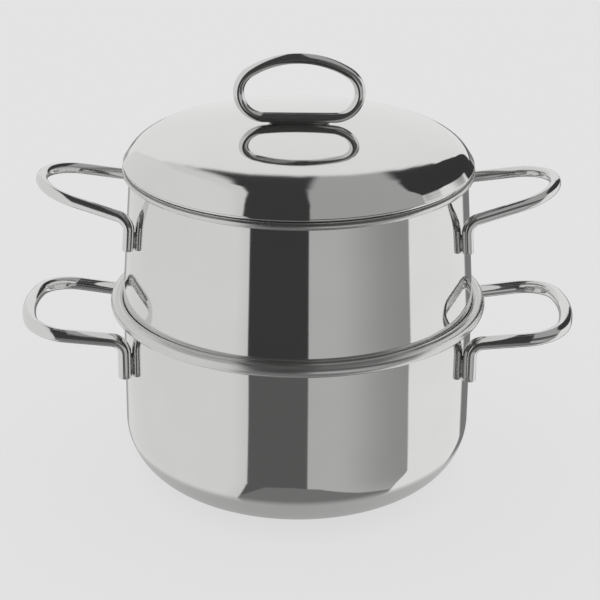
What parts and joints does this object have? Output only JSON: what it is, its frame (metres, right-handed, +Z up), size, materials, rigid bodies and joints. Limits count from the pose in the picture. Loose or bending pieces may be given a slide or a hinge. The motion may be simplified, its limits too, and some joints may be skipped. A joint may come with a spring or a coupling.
{
  "type": "couscoussier",
  "caption": "Polished steel stockpot with a perforated steamer seated in its mouth and a low domed lid; loop handles of bent rod on both sides, an oval ring on the lid.",
  "frame": {"origin": "centre of the base on the table, under the axis that the pot, the steamer and the lid share", "axes": "+X towards the right-hand handles as seen in the picture, +Y away from the camera, +Z up"},
  "size_m": [0.3826, 0.2596, 0.3045],
  "materials": {
    "pot_steel": "mirror-polished stainless steel outside, satin inside",
    "steamer_steel": "mirror-polished stainless steel outside, satin inside",
    "lid_steel": "mirror-polished stainless steel outside, satin inside",
    "rod_steel": "polished stainless steel rod",
    "cap_steel": "stainless steel with a fine turned grain",
    "core_aluminium": "plain, bonded between pot and cap"
  },
  "bodies": {
    "pot": {"pot_body": "pot_steel", "base_core": "core_aluminium", "base_cap": "cap_steel", "pot_handle_left": "rod_steel", "pot_handle_right": "rod_steel"},
    "steamer": {"steamer_body": "steamer_steel", "steamer_handle_left": "rod_steel", "steamer_handle_right": "rod_steel"},
    "lid": {"lid_shell": "lid_steel", "lid_handle": "rod_steel"}
  },
  "joints": [
    {"name": "steamer_lift", "type": "slide", "parent": "pot", "child": "steamer", "axis": [0, 0, 1], "range_m": [0, 0.12]},
    {"name": "lid_lift", "type": "slide", "parent": "steamer", "child": "lid", "axis": [0, 0, 1], "range_m": [0, 0.1]}
  ]
}
